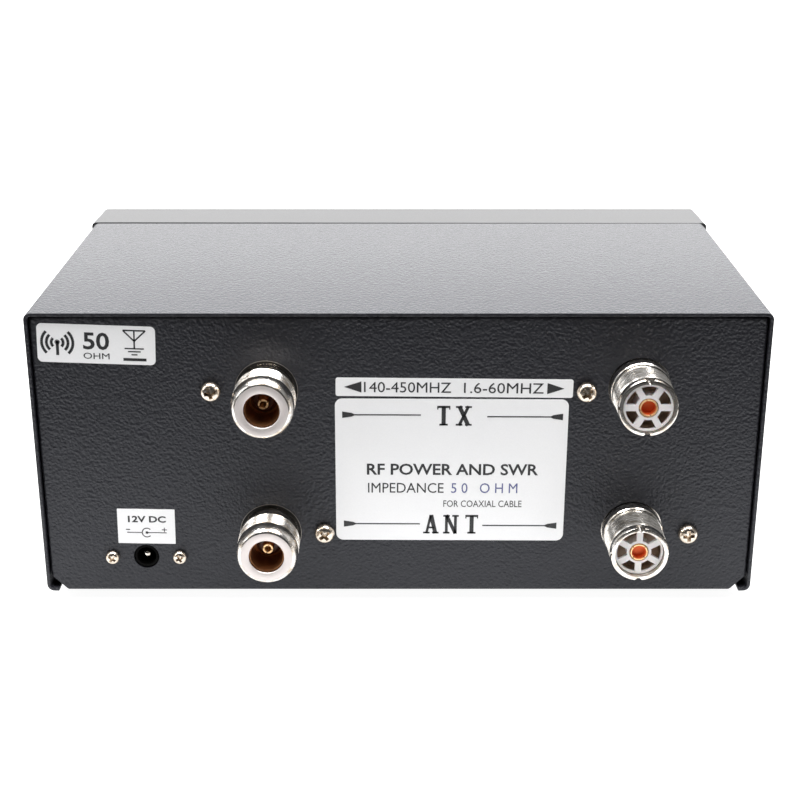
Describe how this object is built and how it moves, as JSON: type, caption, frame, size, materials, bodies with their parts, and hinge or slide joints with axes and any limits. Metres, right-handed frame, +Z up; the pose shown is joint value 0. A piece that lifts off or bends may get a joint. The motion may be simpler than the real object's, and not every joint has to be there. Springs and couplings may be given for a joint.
{
  "type": "SWR meter",
  "caption": "Bench radio power and SWR meter: a black steel case with a moving-coil meter and knobs in front and pairs of coaxial jacks behind.",
  "frame": {"origin": "centre of the footprint, on the surface that the rubber feet stand on", "axes": "+Z up, the front panel and knobs face -Y, the rear panel and jacks face +Y, +X is the viewer's right from in front"},
  "size_m": [0.2016, 0.1446, 0.0862],
  "materials": {
    "painted_steel": "black hammer-textured baked paint",
    "bezel_plastic": "satin moulded",
    "fascia": "matt black with white print",
    "inner_plastic": "moulded black",
    "knob_plastic": "satin black",
    "nickel": "nickel plate",
    "chrome": "bright plate",
    "gold": "gold plate",
    "white_resin": "moulded white",
    "amber_resin": "moulded amber",
    "tinplate": "folded tinplate",
    "rubber": "matt black",
    "clear_acrylic": "clear moulded acrylic",
    "dial": "cream with printed scales",
    "pointer": "red paint",
    "magnet": "plain",
    "copper": "bare copper",
    "board": "green resist on glass epoxy",
    "ferrite": "plain",
    "wire": "black sleeving"
  },
  "bodies": {
    "case": {"top_cover": "painted_steel", "chassis": "painted_steel", "front_bezel": "bezel_plastic", "front_panel": "fascia", "meter_case": "inner_plastic", "function_switch": "inner_plastic", "range_switch": "inner_plastic", "calibration_potentiometer": "inner_plastic", "toggle_switch": "inner_plastic", "sensor_switch": "inner_plastic", "peak_switch": "inner_plastic", "dc_jack": "inner_plastic", "n_jack_tx_shell": "nickel", "n_jack_ant_shell": "nickel", "uhf_jack_tx_shell": "nickel", "uhf_jack_ant_shell": "nickel", "coupler_screw_1": "nickel", "coupler_screw_2": "nickel", "coupler_screw_3": "nickel", "coupler_screw_4": "nickel", "dc_jack_screw_left": "nickel", "dc_jack_screw_right": "nickel", "dc_jack_pin": "nickel", "n_jack_tx_contact": "gold", "n_jack_ant_contact": "gold", "uhf_jack_tx_contact": "gold", "uhf_jack_ant_contact": "gold", "uhf_jack_tx_insulator": "white_resin", "uhf_jack_ant_insulator": "white_resin", "n_jack_tx_insulator": "amber_resin", "n_jack_ant_insulator": "amber_resin", "hf_coupler_case": "tinplate", "hf_coupler_lid": "tinplate", "uhf_coupler_case": "tinplate", "uhf_coupler_lid": "tinplate", "foot_front_left": "rubber", "foot_front_right": "rubber", "foot_rear_left": "rubber", "foot_rear_right": "rubber", "meter_window": "clear_acrylic", "meter_dial": "dial", "meter_magnet": "magnet", "meter_core": "magnet", "hf_coupler_line": "copper", "uhf_coupler_line": "copper", "main_board": "board", "hf_detector_board": "board", "uhf_detector_board": "board", "meter_lamp": "board", "hf_coupler_toroid": "ferrite", "wiring_loom": "wire"},
    "meter_movement": {"meter_pointer": "pointer", "meter_coil": "copper"},
    "function_knob": {"function_knob": "knob_plastic"},
    "range_knob": {"range_knob": "knob_plastic"},
    "calibration_knob": {"calibration_knob": "knob_plastic"},
    "toggle_lever": {"toggle_lever": "chrome"},
    "sensor_button": {"sensor_button": "knob_plastic"},
    "peak_button": {"peak_button": "knob_plastic"},
    "zero_adjuster": {"zero_adjuster": "inner_plastic"}
  },
  "joints": [
    {"name": "meter_pointer_swing", "type": "hinge", "parent": "case", "child": "meter_movement", "pos_m": [-0.044, -0.0545, 0.0265], "axis": [0, 1, 0], "range_deg": [0, 90], "stiffness_Nm_per_rad": 0.00002, "springref_deg": -5.73},
    {"name": "function_knob_turn", "type": "hinge", "parent": "case", "child": "function_knob", "pos_m": [0.028, -0.0573, 0.0565], "axis": [0, 1, 0], "range_deg": [0, 60]},
    {"name": "range_knob_turn", "type": "hinge", "parent": "case", "child": "range_knob", "pos_m": [0.068, -0.0573, 0.0565], "axis": [0, 1, 0], "range_deg": [0, 60]},
    {"name": "calibration_knob_turn", "type": "hinge", "parent": "case", "child": "calibration_knob", "pos_m": [0.074, -0.0573, 0.0255], "axis": [0, 1, 0], "range_deg": [-140, 140]},
    {"name": "toggle_lever_tilt", "type": "hinge", "parent": "case", "child": "toggle_lever", "pos_m": [0.053, -0.0573, 0.0255], "axis": [1, 0, 0], "range_deg": [-12, 12]},
    {"name": "sensor_button_press", "type": "slide", "parent": "case", "child": "sensor_button", "axis": [0, 1, 0], "range_m": [0, 0.0025], "stiffness_N_per_m": 300},
    {"name": "peak_button_press", "type": "slide", "parent": "case", "child": "peak_button", "axis": [0, 1, 0], "range_m": [0, 0.0025], "stiffness_N_per_m": 300},
    {"name": "zero_adjuster_turn", "type": "hinge", "parent": "case", "child": "zero_adjuster", "pos_m": [-0.044, -0.058, 0.0265], "axis": [0, 1, 0], "range_deg": [-30, 30]}
  ]
}
